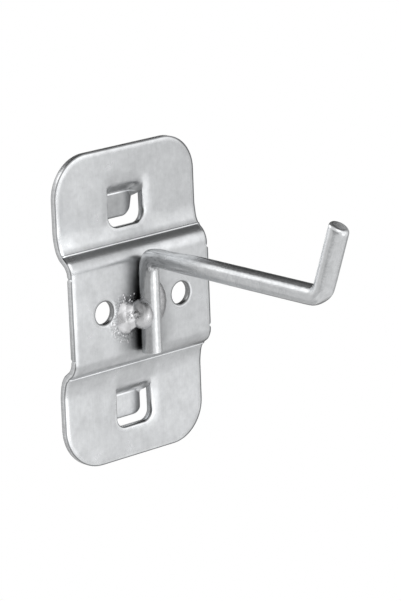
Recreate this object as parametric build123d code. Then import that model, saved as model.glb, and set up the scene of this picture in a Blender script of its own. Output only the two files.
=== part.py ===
from build123d import *
import math
import os

# Tool hook for a perforated panel: a pressed sheet plate with two lanced hook tabs, and a bent
# round wire welded upright to its raised middle. Millimetres, +Z up, front of the hook towards -Y.
# Origin: on the back plane of the pads, midway between the two screw holes.

# Panel that the hook hangs on
PANEL_PITCH = 38.0  # centre distance of the square holes that the two tabs drop into
PANEL_GAP = 1.85  # room for the panel's sheet between the pads and the tabs

# Pressed sheet
SHEET = 1.25  # thickness
PLATE_WIDTH = 33.2
PAD_CORNER_R = 8.0
TOP_MARGIN = 6.4  # sheet above the upper opening
BOTTOM_MARGIN = 5.9  # sheet below the lower opening
INNER_BEND_R = 0.35  # inside radius of the tight bends
NICK_R = 0.4  # trim marks on the side edges, where two cuts of the strip meet
NICK_INSET = 4.0  # from a press line to the nick, towards the screw holes

# Step from the pads to the raised middle
STEP_DEPTH = 3.5  # the middle stands this far in front of the pads
PRESS_LINE_DEPTH = 1.15  # the press line's depth in front of the pads
PAD_SLOPE = 36.0  # degrees from upright, beside the press line
WEB_SLOPE = 53.0  # degrees from upright, between the press line and the middle
PAD_SWEEP_R = 5.0  # soft hollow from the pad towards the press line

# Openings and lanced tabs
OPENING_WIDTH = 8.2
OPENING_HEIGHT = 8.3
OPENING_CORNER_R = 1.9
UPPER_OPENING_CLEAR = 2.6  # from the upper press line to the upper opening
LOWER_OPENING_CLEAR = 3.9  # from the lower press line to the lower opening
TAB_SLIT = 0.15  # beside the tab, each side
TAB_LIFT = 0.8  # the tab ends this far above the opening's lower edge
TAB_SLOPE = 55.0  # degrees from upright, where the tab steps back
TAB_CORNER_R = 1.8

# Screw holes, for fixing the hook without a panel
SCREW_SPACING = 18.4
SCREW_HOLE_D = 4.3

# Bent wire
WIRE_D = 3.8
WIRE_BEND_R = 2.8  # on the wire's centre line
WIRE_REACH = 44.8  # from the leg's axis to the corner of the upturned tip
WIRE_BELOW_PRESS_LINE = 2.2  # the run's axis, under the upper press line
LEG_ABOVE_PRESS_LINE = 2.8  # the leg's end, over the lower press line
TIP_LENGTH = 14.15  # from the corner of the tip to its end
TIP_ANGLE = 70.0  # degrees above the run
WIRE_END_ROUND = 0.45  # rim of the tip's end
ROOT_GAP = 0.05  # between the leg and the plate, bridged by the welds

# Weld nugget on the left of the leg: one lobe on the plate and one on the leg
PLATE_LOBE_R = 2.4
LEG_LOBE_R = 2.1
PLATE_LOBE_SIDE = 2.05  # its centre, beyond the leg's side
PLATE_LOBE_PROUD = 0.35  # its centre, in front of the plate
PLATE_LOBE_DROP = 1.65  # its centre, below the screw holes
LEG_LOBE_SIDE = 0.45
LEG_LOBE_PROUD = 2.0
LEG_LOBE_DROP = 1.25

# Weld bead on the right of the leg, a long lens in the corner of plate and leg
BEAD_R = 1.5
BEAD_LENGTH = 8.4
BEAD_PUDDLES = 5
BEAD_SIDE = 0.4  # its axis, beyond the leg's side
BEAD_PROUD = 1.1  # its axis, in front of the plate
BEAD_RISE = 0.2  # its middle, above the screw holes

# Places that follow from the sizes
pad_front = -SHEET
middle_front = -STEP_DEPTH - SHEET
press_span = PANEL_PITCH - OPENING_HEIGHT - UPPER_OPENING_CLEAR - LOWER_OPENING_CLEAR
press_z = press_span / 2
upper_opening_z = press_z + UPPER_OPENING_CLEAR
lower_opening_z = upper_opening_z - PANEL_PITCH
plate_top = upper_opening_z + OPENING_HEIGHT + TOP_MARGIN
plate_bottom = lower_opening_z - BOTTOM_MARGIN
plate_mid = (plate_top + plate_bottom) / 2
outer_bend_r = INNER_BEND_R + SHEET
wire_r = WIRE_D / 2
leg_y = middle_front - ROOT_GAP - wire_r


def rise(depth, slope):
    """Height that a face with this slope from upright needs for a depth."""
    return depth / math.tan(math.radians(slope))


def sheet_profile(points, radii, side):
    """Closed section of a bent sheet in the YZ plane, from the path of its front face."""
    front = FilletPolyline(*points, radius=radii)
    return Plane.YZ * make_face(offset(front, SHEET, side=side))


def pressed_sheet():
    """The full width of the strip, with its middle pressed forward."""
    press_y = pad_front - PRESS_LINE_DEPTH
    pad_z = press_z + rise(PRESS_LINE_DEPTH, PAD_SLOPE)
    web_z = press_z - rise(STEP_DEPTH - PRESS_LINE_DEPTH, WEB_SLOPE)
    half = [(pad_front, pad_z), (press_y, press_z), (middle_front, web_z)]
    half_radii = [PAD_SWEEP_R, INNER_BEND_R, outer_bend_r]
    lower_half = [(y, -z) for y, z in reversed(half)]
    points = [(pad_front, plate_top), *half, *lower_half, (pad_front, plate_bottom)]
    section = sheet_profile(points, half_radii + half_radii[::-1], Side.LEFT)
    return extrude(section, PLATE_WIDTH / 2, both=True)


def through(sketch):
    """A cutter from a front-view sketch, longer than the plate is deep."""
    depth = STEP_DEPTH + 2 * SHEET
    return extrude(Plane.XZ * sketch, depth * 2, both=True)


def plate_outline():
    """Front view of the blank: rounded pads and the trim nicks on the side edges."""
    height = plate_top - plate_bottom
    outline = Pos(0, plate_mid) * RectangleRounded(PLATE_WIDTH, height, PAD_CORNER_R)
    nick_z = press_z - NICK_INSET
    for x in (-PLATE_WIDTH / 2, PLATE_WIDTH / 2):
        for z in (-nick_z, nick_z):
            outline -= Pos(x, z) * Circle(NICK_R)
    return outline


def opening(z):
    """Front view of one lanced opening whose lower edge is at z."""
    frame = Pos(0, z + OPENING_HEIGHT / 2) * Rectangle(OPENING_WIDTH, OPENING_HEIGHT)
    return fillet(frame.vertices().group_by(Axis.Y)[0], OPENING_CORNER_R)


def tab(z):
    """The tongue of one opening, stepped back behind the panel and pointing down."""
    hinge_z = z + OPENING_HEIGHT
    bend_z = hinge_z - outer_bend_r * math.tan(math.radians(TAB_SLOPE / 2))
    flat_z = bend_z - rise(PANEL_GAP + SHEET, TAB_SLOPE)
    root_z = hinge_z + SHEET
    end_z = z + TAB_LIFT
    points = [(pad_front, root_z), (pad_front, bend_z), (PANEL_GAP, flat_z), (PANEL_GAP, end_z)]
    section = sheet_profile(points, [outer_bend_r, INNER_BEND_R], Side.LEFT)
    tongue = extrude(section, OPENING_WIDTH / 2 - TAB_SLIT, both=True)
    corners = tongue.edges().filter_by(Axis.Y).group_by(Axis.Z)[0]
    return fillet(corners, TAB_CORNER_R)


def back_plate():
    plate = pressed_sheet() & through(plate_outline())
    for x in (-SCREW_SPACING / 2, SCREW_SPACING / 2):
        plate -= through(Pos(x, 0) * Circle(SCREW_HOLE_D / 2))
    for z in (lower_opening_z, upper_opening_z):
        plate -= through(opening(z))
        plate += tab(z)
    return plate


def hook_rod():
    """Leg along the plate, run straight out to the front, and the upturned tip."""
    run_z = press_z - WIRE_BELOW_PRESS_LINE
    leg_end_z = -press_z + LEG_ABOVE_PRESS_LINE
    corner_y = leg_y - WIRE_REACH
    tip_y = corner_y - TIP_LENGTH * math.cos(math.radians(TIP_ANGLE))
    tip_z = run_z + TIP_LENGTH * math.sin(math.radians(TIP_ANGLE))
    points = [(0, leg_y, leg_end_z), (0, leg_y, run_z), (0, corner_y, run_z), (0, tip_y, tip_z)]
    path = FilletPolyline(*points, radius=WIRE_BEND_R)
    section = Plane(origin=path @ 0, z_dir=path % 0) * Circle(wire_r)
    wire = sweep(section, path=path)
    tip_face = wire.faces().filter_by(GeomType.PLANE).sort_by(Axis.Y)[0]
    return fillet(tip_face.edges(), WIRE_END_ROUND)


def weld_room():
    """The space in front of the raised middle, where the weld metal lies."""
    side = press_span
    behind = (Align.CENTER, Align.MAX, Align.CENTER)
    return Pos(0, middle_front, 0) * Box(side, side, side, align=behind)


def weld_nugget(rod):
    side = -wire_r
    plate_lobe = Pos(side - PLATE_LOBE_SIDE, middle_front - PLATE_LOBE_PROUD, -PLATE_LOBE_DROP)
    leg_lobe = Pos(side - LEG_LOBE_SIDE, middle_front - LEG_LOBE_PROUD, -LEG_LOBE_DROP)
    away_from_leg = Rot(0, 0, 180)
    away_from_plate = Rot(0, 0, -90)
    nugget = plate_lobe * away_from_leg * Sphere(PLATE_LOBE_R)
    nugget += leg_lobe * away_from_plate * Sphere(LEG_LOBE_R)
    return (nugget & weld_room()) - rod


def weld_bead(rod):
    """A row of set puddles, full in the middle and running out to both ends."""
    bead = Part()
    for step in range(BEAD_PUDDLES):
        along = (step + 1) / (BEAD_PUDDLES + 1) * 2 - 1
        place = Pos(wire_r + BEAD_SIDE, middle_front - BEAD_PROUD, BEAD_RISE + along * BEAD_LENGTH / 2)
        bead += place * Sphere(BEAD_R * (1 - along**2))
    return (bead & weld_room()) - rod


def main():
    plate = back_plate()
    rod = hook_rod()
    parts = {
        "back_plate": plate,
        "hook_rod": rod,
        "weld_nugget_left": weld_nugget(rod),
        "weld_bead_right": weld_bead(rod),
    }
    os.makedirs("parts", exist_ok=True)
    for name, part in parts.items():
        export_step(part, f"parts/{name}.step")


main()
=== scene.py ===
import math
import random
from collections import namedtuple

import bmesh
import bpy
from mathutils import Matrix, Vector, noise


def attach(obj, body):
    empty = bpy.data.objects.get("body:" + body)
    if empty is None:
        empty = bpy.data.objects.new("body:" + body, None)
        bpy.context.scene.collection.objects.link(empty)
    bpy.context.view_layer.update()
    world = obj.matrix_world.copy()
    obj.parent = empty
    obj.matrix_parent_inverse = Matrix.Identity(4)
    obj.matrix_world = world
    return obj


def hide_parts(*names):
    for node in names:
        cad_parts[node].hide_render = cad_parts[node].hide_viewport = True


# Tool hook for a perforated panel: a pressed zinc-plated sheet with two lanced tabs, and a bent wire
# welded to its raised middle. Lengths in millimetres until a piece is finished, +Z up, front towards -Y.

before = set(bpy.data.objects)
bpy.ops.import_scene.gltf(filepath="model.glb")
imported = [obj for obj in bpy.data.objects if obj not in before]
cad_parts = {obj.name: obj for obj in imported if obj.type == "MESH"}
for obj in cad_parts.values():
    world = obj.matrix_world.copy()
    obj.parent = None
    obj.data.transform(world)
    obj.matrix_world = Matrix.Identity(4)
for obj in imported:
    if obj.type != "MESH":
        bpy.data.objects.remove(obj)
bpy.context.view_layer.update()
scene = bpy.context.scene

MM = 0.001
BODY = "root"

# Pressed sheet
SHEET = 1.25
PLATE_HALF_WIDTH = 16.6
PLATE_TOP = 28.9
PLATE_BOTTOM = -29.7
UPPER_LEFT_CORNER_R = 7.6
UPPER_RIGHT_CORNER_R = 7.1
LOWER_LEFT_CORNER_R = 8.4
LOWER_RIGHT_CORNER_R = 7.3
PAD_FRONT = -1.25
MIDDLE_FRONT = -4.75
PRESS_LINE_Z = 11.6
PRESS_LINE_FRONT = -2.4
SWEEP_FRONT = -1.87
SWEEP_Z = 12.33
SWEEP_R = 2.6
PAD_SWEEP_Z = 14.24
PAD_SWEEP_R = 9.0
WEB_FOOT_Z = 9.829
INNER_BEND_R = 0.35
OUTER_BEND_R = 1.6
WEB_BEND_R = 3.3
BEND_STEPS = 8

# Radius of each corner of the plate, by its side: (right, upper)
PLATE_CORNERS = {
    (False, True): UPPER_LEFT_CORNER_R,
    (True, True): UPPER_RIGHT_CORNER_R,
    (False, False): LOWER_LEFT_CORNER_R,
    (True, False): LOWER_RIGHT_CORNER_R,
}
PLATE_CORNER_STEPS = 20
OPENING_CORNER_STEPS = 10

# Rounded edges that the punch leaves on the front, and the sharper ones at the back
ROLL_WIDTH = 1.0
ROLL_DROP = 0.16
HOLE_ROLL_WIDTH = 0.6
HOLE_ROLL_DROP = 0.15
ROLL_POWER = 1.6
BACK_ROLL_WIDTH = 0.1
BACK_ROLL_DROP = 0.08
RIM_RINGS = (0.02, 0.06, 0.08, 0.1, 0.12, 0.14, 0.16, 0.18, 0.19, 0.35)

# Trim marks on the side edges, where two cuts of the strip meet, and how far each cut is set in
NICK_Z = 7.6
NICK_HALF = 0.4
NICK_DEPTH_LEFT = 0.3
NICK_DEPTH_RIGHT = 0.6
TRIM_RUN_OUT = 14.0
TRIM_TOP_RIGHT = 0.4
TRIM_MIDDLE_RIGHT = 0.16
TRIM_BOTTOM_RIGHT = 0.2
TRIM_LEFT = 0.04

# Burnished bead that the press leaves along each press line
PRESS_BEAD_R = 0.14
BEAD_STATIONS = (-1.0, -0.92, -0.7, -0.38, 0.0, 0.38, 0.7, 0.92, 1.0)

# Screw holes
SCREW_X = 9.2
SCREW_HOLE_R = 2.15
SCREW_HOLE_SIDES = 56

# Openings and the tabs lanced out of them: heights on the blank of an opening's lower edge, of the upper
# ends of the slits and of the tab's crease and hinge, then the tab's corners and how it narrows
Opening = namedtuple("Opening", "bottom slit crease hinge tab_corner_r tab_taper")
UPPER_OPENING = Opening(bottom=14.2, slit=19.75, crease=20.2, hinge=22.5, tab_corner_r=2.0, tab_taper=0.12)
LOWER_OPENING = Opening(bottom=-23.8, slit=-17.2, crease=-17.6, hinge=-15.5, tab_corner_r=1.7, tab_taper=0.0)
OPENINGS = (UPPER_OPENING, LOWER_OPENING)
OPENING_HALF_WIDTH = 4.1
OPENING_CORNER_R = 1.9
TAB_HALF_WIDTH = 3.95
TAB_FLAT_LIFT = 0.3
TAB_LIFT = 0.8
TAB_ROLL_WIDTH = 0.3
TAB_ROLL_DROP = 0.18
TAB_BEAD_R = 0.05
TAB_FRONT = 1.85
TAB_SLOPE = 61.0
OPENING_ROLL_WIDTH = 0.32
OPENING_ROLL_DROP = 0.24
SLIT_FADE = 1.2

# Corners between a tab's hinge and its slits, dragged down as the sheet tore there
TAB_TEAR = 1.3
TEAR_WIDTH = 1.6
TEAR_LENGTH = 3.0

# Hollow drawn into the pad round an opening, and cuts of the blank that carry it
DISH_WIDTH = 2.3
DISH_DROP = 0.3
DISH_CUTS = (0.5, 0.9, 1.3, 1.75, 2.2)
DISH_RUN_ON = 0.9

# Soft passage from the pad to a tab over its hinge, and cuts of the blank that carry it
DRAWN_SOFT = 1.9
DRAWN_INWARD = 1.3
DRAWN_TIGHT = 0.06
DRAWN_CUTS_INSIDE = (0.8, 1.2, 1.6, 2.0, 2.4, 2.75, 3.1, 3.4, 3.65, 3.8, 3.91)
DRAWN_CUTS_OUTSIDE = (3.99, 4.06, 4.14, 4.25, 4.4, 4.6, 4.85)

# Wire
WIRE_R = 1.9
WIRE_SIDES = 64
WIRE_BEND_R = 2.8
LEG_Y = -6.7
LEG_END_Z = -8.8
RUN_Z = 9.4
TIP_CORNER_Y = -51.5
TIP_LENGTH = 14.15
TIP_ANGLE = 70.0
TIP_ROUND = 0.8
TIP_END = 1.3
TIP_SLANT = (-0.15, 0.123, 0.045)
LEG_END_ROUND = 0.12
WIRE_END_STEPS = 8
WIRE_BEND_STEPS = 18
RUN_STEPS = 56

# First bend, flattened on top and pinched on its left, and the flattened outside of the second bend
PRESSED_TOP = 1.3
PRESSED_FROM = 0.6
PRESSED_RUN = 12.0
PINCHED_SIDE = 1.6
PINCHED_FROM = 0.5
PINCHED_LEG = 3.5
TIP_PRESSED = 1.58
TIP_PRESSED_FROM = 0.8
TIP_PRESSED_REACH = 1.0
TIP_PRESSED_AT = 0.6

# Weld metal: (centre, radii) of the lobes that run together on the left of the leg
PLATE_LOBE = ((-4.0, -3.5, -1.9), (2.75, 2.9, 3.55))
LEG_LOBE = ((-2.15, -6.7, -1.2), (2.1, 2.3, 2.8))
SADDLE = ((-3.5, -5.3, -1.5), (1.85, 1.8, 2.6))
BALL_STEPS = 5
WELD_VOXEL = 0.08
WELD_SMOOTHING = 0.5
WELD_SMOOTHINGS = 22
WELD_CUT = -4.35
LUMP_HEIGHT = 0.09
LUMP_SIZE = 1.3
PIP = (-4.75, -7.1, -0.85)
PIP_REACH = 1.3
PIP_HEIGHT = 0.3
PIP_GRAIN = 0.4

# Weld bead on the right of the leg
BEAD_X = 1.9
BEAD_Y = -5.3
BEAD_Z = 0.2
BEAD_R = 2.45
BEAD_HALF_LENGTH = 4.6
BEAD_PUDDLES = 9

# Spatter on the plate round the nugget
SPATTER_SEED = 11
SPATTER_COUNT = 70
SPATTER_FROM = 3.1
SPATTER_OVER = 1.5
SPATTER_R = (0.07, 0.29)
SPATTER_START = math.radians(55)
SPATTER_SWEEP = math.radians(215)
SPATTER_FLAT = 0.55
SPATTER_STEPS = 2

# Material slot of the plate's cut edges
CUT_FACE = 1

# Attributes that finishes read: the way through the sheet, the distance from its nearest cut, and places
# on the wire before it was bent
THROUGH = "through"
FROM_CUT = "from_cut"
STRAIGHT = "straight"

# Mesh finish: points this close are joined, thinner faces are dissolved and odd edges collapsed in rounds
JOIN_DISTANCE = 0.002
THIN_FACE = 0.002
MEND_ROUNDS = 4
SHARP_ANGLE = math.radians(38)
ON_PLANE = 0.00001
NEAR_HEIGHT = 0.0001
ROUND_PROFILE = 0.5


def finished(name, bm, materials, slot, *nodes):
    """The mesh as a piece of the hook, in metres, riding on its one body and standing for these solids."""
    bmesh.ops.remove_doubles(bm, verts=bm.verts, dist=JOIN_DISTANCE)
    bmesh.ops.triangulate(bm, faces=bm.faces[:], quad_method="BEAUTY", ngon_method="BEAUTY")
    bmesh.ops.dissolve_degenerate(bm, dist=THIN_FACE, edges=bm.edges[:])
    for _ in range(MEND_ROUNDS):
        odd = [edge for edge in bm.edges if not edge.is_manifold]
        bmesh.ops.collapse(bm, edges=odd)
        bmesh.ops.triangulate(bm, faces=bm.faces[:], quad_method="BEAUTY", ngon_method="BEAUTY")
    bmesh.ops.recalc_face_normals(bm, faces=bm.faces)
    for face in bm.faces:
        face.smooth = True
    for edge in bm.edges:
        edge.smooth = edge.calc_face_angle(math.pi) < SHARP_ANGLE
    bmesh.ops.scale(bm, vec=(MM, MM, MM), verts=bm.verts)
    mesh = bpy.data.meshes.new(name)
    bm.to_mesh(mesh)
    bm.free()
    for material in materials:
        mesh.materials.append(material)
    piece = bpy.data.objects.new(name, mesh)
    scene.collection.objects.link(piece)
    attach(piece, BODY)
    if nodes:
        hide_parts(*nodes)
    return piece


# Small helpers


def rounded_off(bm, items, offset, steps, affect):
    """Rounds off corners or edges."""
    bmesh.ops.bevel(
        bm, geom=items, offset=offset, segments=steps, profile=ROUND_PROFILE, affect=affect, material=-1
    )


def sliced(bm, geom, place, direction, **settings):
    """Cuts these items along a plane."""
    bmesh.ops.bisect_plane(bm, geom=geom, dist=ON_PLANE, plane_co=place, plane_no=direction, **settings)


def circle(bm, sides, radius, place):
    matrix = Matrix.Translation(place)
    bmesh.ops.create_circle(bm, cap_ends=False, segments=sides, radius=radius, matrix=matrix)


def ends_of(edges):
    """The points of these edges, sorted by place so that sums of them are the same on every run."""
    return sorted({vert for edge in edges for vert in edge.verts}, key=lambda vert: tuple(vert.co))


def clamped(value):
    return min(max(value, 0), 1)


def eased(share):
    """A share that starts and ends softly."""
    return share * share * (3 - 2 * share)


def fading(distance, reach):
    """From one at no distance down to none at the reach, soft at both ends."""
    return eased(1 - clamped(distance / reach))


# Sections of the bent sheet


def rounded_line(corners, radii):
    """Points of a front line through these (depth, height) corners, inner corners rounded, bottom first."""
    bm = bmesh.new()
    line = [bm.verts.new((y, z, 0)) for y, z in corners]
    for first, second in zip(line, line[1:]):
        bm.edges.new((first, second))
    places = [vert.co.copy() for vert in line]
    for index, radius in enumerate(radii, start=1):
        arriving = places[index] - places[index - 1]
        leaving = places[index + 1] - places[index]
        reach = radius * math.tan(arriving.angle(leaving) / 2)
        rounded_off(bm, [line[index]], reach, BEND_STEPS, "VERTICES")
    points = sorted([Vector((vert.co.x, vert.co.y)) for vert in bm.verts], key=lambda point: point.y)
    bm.free()
    return points


def section(points, heights):
    """Rows of (height on the blank, point, normal into the sheet) along a front line."""
    rows = []
    for index, point in enumerate(points):
        before = points[max(index - 1, 0)]
        after = points[min(index + 1, len(points) - 1)]
        along = (after - before).normalized()
        rows.append((heights[index], point, Vector((along.y, -along.x))))
    return rows


def on_section(rows, height, depth):
    """The (y, z) place at this height on the blank and this depth behind the front face."""
    for low, high in zip(rows, rows[1:]):
        if height <= high[0]:
            break
    share = (height - low[0]) / (high[0] - low[0])
    point = low[1].lerp(high[1], share)
    normal = low[2].lerp(high[2], share).normalized()
    return point + normal * depth


def plate_section():
    """The pressed strip: pad, soft hollow, press line, web and raised middle, and the same mirrored below."""
    upper = [
        (MIDDLE_FRONT, WEB_FOOT_Z),
        (PRESS_LINE_FRONT, PRESS_LINE_Z),
        (SWEEP_FRONT, SWEEP_Z),
        (PAD_FRONT, PAD_SWEEP_Z),
    ]
    lower = [(y, -z) for y, z in reversed(upper)]
    corners = [(PAD_FRONT, PLATE_BOTTOM - SHEET), *lower, *upper, (PAD_FRONT, PLATE_TOP + SHEET)]
    radii = (PAD_SWEEP_R, SWEEP_R, INNER_BEND_R, WEB_BEND_R)
    points = rounded_line(corners, (*radii, *reversed(radii)))
    return section(points, [point.y for point in points])


def tab_section(opening):
    """A tab's line from its end up to the hinge, laid out on the blank inside its opening."""
    slope = math.radians(TAB_SLOPE)
    bend_z = opening.hinge - OUTER_BEND_R * math.tan(slope / 2)
    flat_z = bend_z - (TAB_FRONT - PAD_FRONT) / math.tan(slope)
    end_z = opening.bottom + TAB_LIFT
    corners = [(TAB_FRONT, end_z), (TAB_FRONT, flat_z), (PAD_FRONT, bend_z), (PAD_FRONT, opening.hinge)]
    points = rounded_line(corners, (INNER_BEND_R, OUTER_BEND_R))
    foot = opening.bottom + TAB_FLAT_LIFT
    heights = []
    for point in points:
        if point.y < flat_z:
            heights.append(foot + (opening.crease - foot) * (point.y - end_z) / (flat_z - end_z))
        else:
            drop = (opening.hinge - opening.crease) * (opening.hinge - point.y) / (opening.hinge - flat_z)
            heights.append(opening.hinge - drop)
    return section(points, heights)


# Flat blank of the plate


def blank_box(bm, half_width, low, high, radii, steps):
    """Edge loop of an upright box on the blank; radii has a radius for each rounded (right, upper) corner."""
    made = bmesh.ops.create_grid(bm, x_segments=1, y_segments=1, size=1)["verts"]
    bmesh.ops.scale(bm, vec=(half_width, (high - low) / 2, 1), verts=made)
    bmesh.ops.translate(bm, vec=(0, (high + low) / 2, 0), verts=made)
    for vert in made:
        corner = (vert.co.x > 0, vert.co.y > (high + low) / 2)
        if corner in radii:
            rounded_off(bm, [vert], radii[corner], steps, "VERTICES")
    edges = bm.faces[:][0].edges[:]
    bmesh.ops.delete(bm, geom=bm.faces[:], context="FACES_ONLY")
    return edges


def cut_top(bm, edges):
    """Takes the top edge out of a loop and returns its two ends, left first."""
    top = max(edges, key=lambda edge: sum(vert.co.y for vert in edge.verts))
    ends = sorted(top.verts, key=lambda vert: vert.co.x)
    bmesh.ops.delete(bm, geom=[top], context="EDGES_FACES")
    return ends


def trim(x, z):
    """How far the plate's side edge is set in at this place."""
    if abs(z) < NICK_Z:
        return TRIM_MIDDLE_RIGHT if x > 0 else 0
    share = clamped((TRIM_RUN_OUT - abs(z)) / (TRIM_RUN_OUT - NICK_Z))
    if x < 0:
        return TRIM_LEFT * share
    return (TRIM_TOP_RIGHT if z > 0 else TRIM_BOTTOM_RIGHT) * share


def nick(bm):
    """Sets the trims in and cuts a nick into each side edge where two trims meet."""
    for side in (-1, 1):
        for height in (NICK_Z - NICK_HALF, NICK_Z, NICK_Z + NICK_HALF, TRIM_RUN_OUT):
            sliced(bm, bm.edges[:] + bm.verts[:], (0, side * height, 0), (0, 1, 0))
    for vert in bm.verts:
        side = math.copysign(1, vert.co.x)
        if abs(abs(vert.co.y) - NICK_Z) < NEAR_HEIGHT:
            vert.co.x -= NICK_DEPTH_RIGHT if side > 0 else -NICK_DEPTH_LEFT
        else:
            vert.co.x -= side * trim(vert.co.x, vert.co.y)


def tab_half_width(z, opening):
    """Half the width of a tab at this height of the blank; it narrows from the slits to its end."""
    return TAB_HALF_WIDTH - opening.tab_taper * max(opening.slit - z, 0)


def blank():
    """The flat blank with its holes, and the tabs still in their openings."""
    bm = bmesh.new()
    blank_box(bm, PLATE_HALF_WIDTH, PLATE_BOTTOM, PLATE_TOP, PLATE_CORNERS, PLATE_CORNER_STEPS)
    nick(bm)
    for side in (-1, 1):
        circle(bm, SCREW_HOLE_SIDES, SCREW_HOLE_R, (side * SCREW_X, 0, 0))
    for opening in OPENINGS:
        low = opening.bottom
        high = opening.slit
        round_below = {(False, False): OPENING_CORNER_R, (True, False): OPENING_CORNER_R}
        frame_edges = blank_box(bm, OPENING_HALF_WIDTH, low, high, round_below, OPENING_CORNER_STEPS)
        low += TAB_FLAT_LIFT
        round_below = {(False, False): opening.tab_corner_r, (True, False): opening.tab_corner_r}
        tab_edges = blank_box(bm, TAB_HALF_WIDTH, low, high, round_below, OPENING_CORNER_STEPS)
        for vert in ends_of(tab_edges):
            vert.co.x *= tab_half_width(vert.co.y, opening) / TAB_HALF_WIDTH
        for first, second in zip(cut_top(bm, frame_edges), cut_top(bm, tab_edges)):
            bm.edges.new((first, second))
    return bm


def fill_blank(bm):
    """Fills the blank and lays rings along every cut edge, for the rolled rims."""
    bmesh.ops.triangle_fill(bm, use_beauty=True, edges=bm.edges[:], normal=(0, 0, 1))
    inner = bm.faces[:]
    for width in RIM_RINGS:
        bmesh.ops.inset_region(bm, faces=inner, thickness=width, use_boundary=True, use_even_offset=True)


def score(bm, heights):
    """Cuts the blank across at these heights, where it will bend, and upright beside each tab's hinge."""
    for height in heights:
        everything = bm.verts[:] + bm.edges[:] + bm.faces[:]
        sliced(bm, everything, (0, height, 0), (0, 1, 0))
    for opening in OPENINGS:
        for cut in DRAWN_CUTS_INSIDE + DRAWN_CUTS_OUTSIDE:
            cut_upright(bm, cut, opening.slit, opening.hinge + SHEET)
        for cut in DISH_CUTS:
            cut_upright(bm, OPENING_HALF_WIDTH + cut, opening.bottom - DISH_WIDTH, opening.hinge + DISH_WIDTH)


def cut_upright(bm, x, low, high):
    """Cuts the blank upright at this distance to both sides of the middle, between two heights."""
    for place in (-x, x):
        faces = [face for face in bm.faces if low < face.calc_center_median().y < high]
        geom = dict.fromkeys(item for face in faces for item in (face, *face.edges, *face.verts))
        sliced(bm, list(geom), (place, 0, 0), (1, 0, 0))


# Rolled edges


def box_edge(x, z, half_width, low, high, radius):
    """Distance to the edge of an upright box with round corners, negative inside it."""
    over_x = abs(x) - half_width + radius
    over_z = abs(z - (low + high) / 2) - (high - low) / 2 + radius
    return math.hypot(max(over_x, 0), max(over_z, 0)) + min(max(over_x, over_z), 0) - radius


def rolled(distance, width, drop):
    """How far a rolled edge falls away at a distance from the cut."""
    away = clamped(distance / width)
    return drop * (1 - math.sqrt(1 - (1 - away) ** 2))


def sloped(distance, width, drop):
    """How far a wide rim falls away at a distance from the cut, steepest at the cut."""
    away = clamped(distance / width)
    return drop * (1 - away) ** ROLL_POWER


def from_cut(x, z):
    """Distance of a place of the blank from the plate's outer cut."""
    radius = PLATE_CORNERS[x > 0, z > (PLATE_TOP + PLATE_BOTTOM) / 2]
    return -box_edge(x, z, PLATE_HALF_WIDTH - trim(x, z), PLATE_BOTTOM, PLATE_TOP, radius)


def from_hole(x, z):
    """Distance of a place of the blank from the nearer screw hole."""
    return min(math.hypot(x - side * SCREW_X, z) - SCREW_HOLE_R for side in (-1, 1))


def from_opening(x, z, opening):
    """Distance of a place of the blank from an opening, negative inside it."""
    return box_edge(x, z, OPENING_HALF_WIDTH, opening.bottom, opening.hinge, OPENING_CORNER_R)


def from_openings(x, z, share):
    """Distance of a place of the blank from an opening's cut; far away on the tabs and over the slits."""
    if share > 0:
        return ROLL_WIDTH
    distances = []
    for opening in OPENINGS:
        distances.append(from_opening(x, z, opening) + (1 - slit_fade(z, opening.slit)) * ROLL_WIDTH)
    return min(distances)


def dished(distance):
    """How far the pad is drawn back around an opening."""
    away = clamped(distance / DISH_WIDTH)
    return DISH_DROP * (1 - away) ** 2


def tab_share(x, z):
    """(opening, share) of the tab that this place of the blank belongs to, or (None, 0)."""
    between = (OPENING_HALF_WIDTH + TAB_HALF_WIDTH) / 2
    for opening in OPENINGS:
        slit_z = opening.slit
        if slit_z - ON_PLANE <= z < opening.hinge:
            above = (z - slit_z) / (opening.hinge - slit_z)
            soft = DRAWN_TIGHT + DRAWN_SOFT * above
            edge = between - DRAWN_INWARD * above
            return opening, eased(clamped((edge + soft - abs(x)) / (2 * soft)))
        if opening.bottom < z < slit_z:
            low = opening.bottom + TAB_FLAT_LIFT / 2
            high = opening.hinge + TAB_HALF_WIDTH
            radius = (OPENING_CORNER_R + opening.tab_corner_r) / 2
            return opening, 1 if box_edge(x, z, between, low, high, radius) < 0 else 0
    return None, 0


def torn(x, z, opening):
    """How far the corner between a tab's hinge and its slit is dragged down along the tab."""
    across = fading(TAB_HALF_WIDTH - abs(x), TEAR_WIDTH)
    if z > opening.slit:
        return TAB_TEAR * across * fading(z - opening.slit, opening.hinge - opening.slit)
    return TAB_TEAR * across * fading(opening.slit - z, TEAR_LENGTH)


def slit_fade(z, slit_z):
    """Share of the full edge roll at this height: none where the slit beside the tab ends."""
    return clamped((slit_z - z) / SLIT_FADE)


def bead(distance, radius):
    """Height of a burnished bead of this radius at a distance from its line."""
    return math.sqrt(max(radius * radius - distance * distance, 0))


def depth_on_plate(x, z, back):
    """Depth of a place of the plate behind the flat front face."""
    cut = from_cut(x, z)
    hole = from_hole(x, z)
    if back:
        depth = SHEET - rolled(min(cut, hole), BACK_ROLL_WIDTH, BACK_ROLL_DROP)
    else:
        depth = max(sloped(cut, ROLL_WIDTH, ROLL_DROP), sloped(hole, HOLE_ROLL_WIDTH, HOLE_ROLL_DROP))
    for opening in OPENINGS:
        away = from_opening(x, z, opening)
        missing = (1 - slit_fade(z, opening.slit)) * OPENING_ROLL_WIDTH
        rim = rim_depth(away + missing, back, OPENING_ROLL_WIDTH, OPENING_ROLL_DROP)
        if z < opening.hinge:
            depth = min(depth, rim) if back else max(depth, rim)
        depth += dished(away)
    return depth if back else depth - bead(abs(z) - PRESS_LINE_Z, PRESS_BEAD_R)


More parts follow.
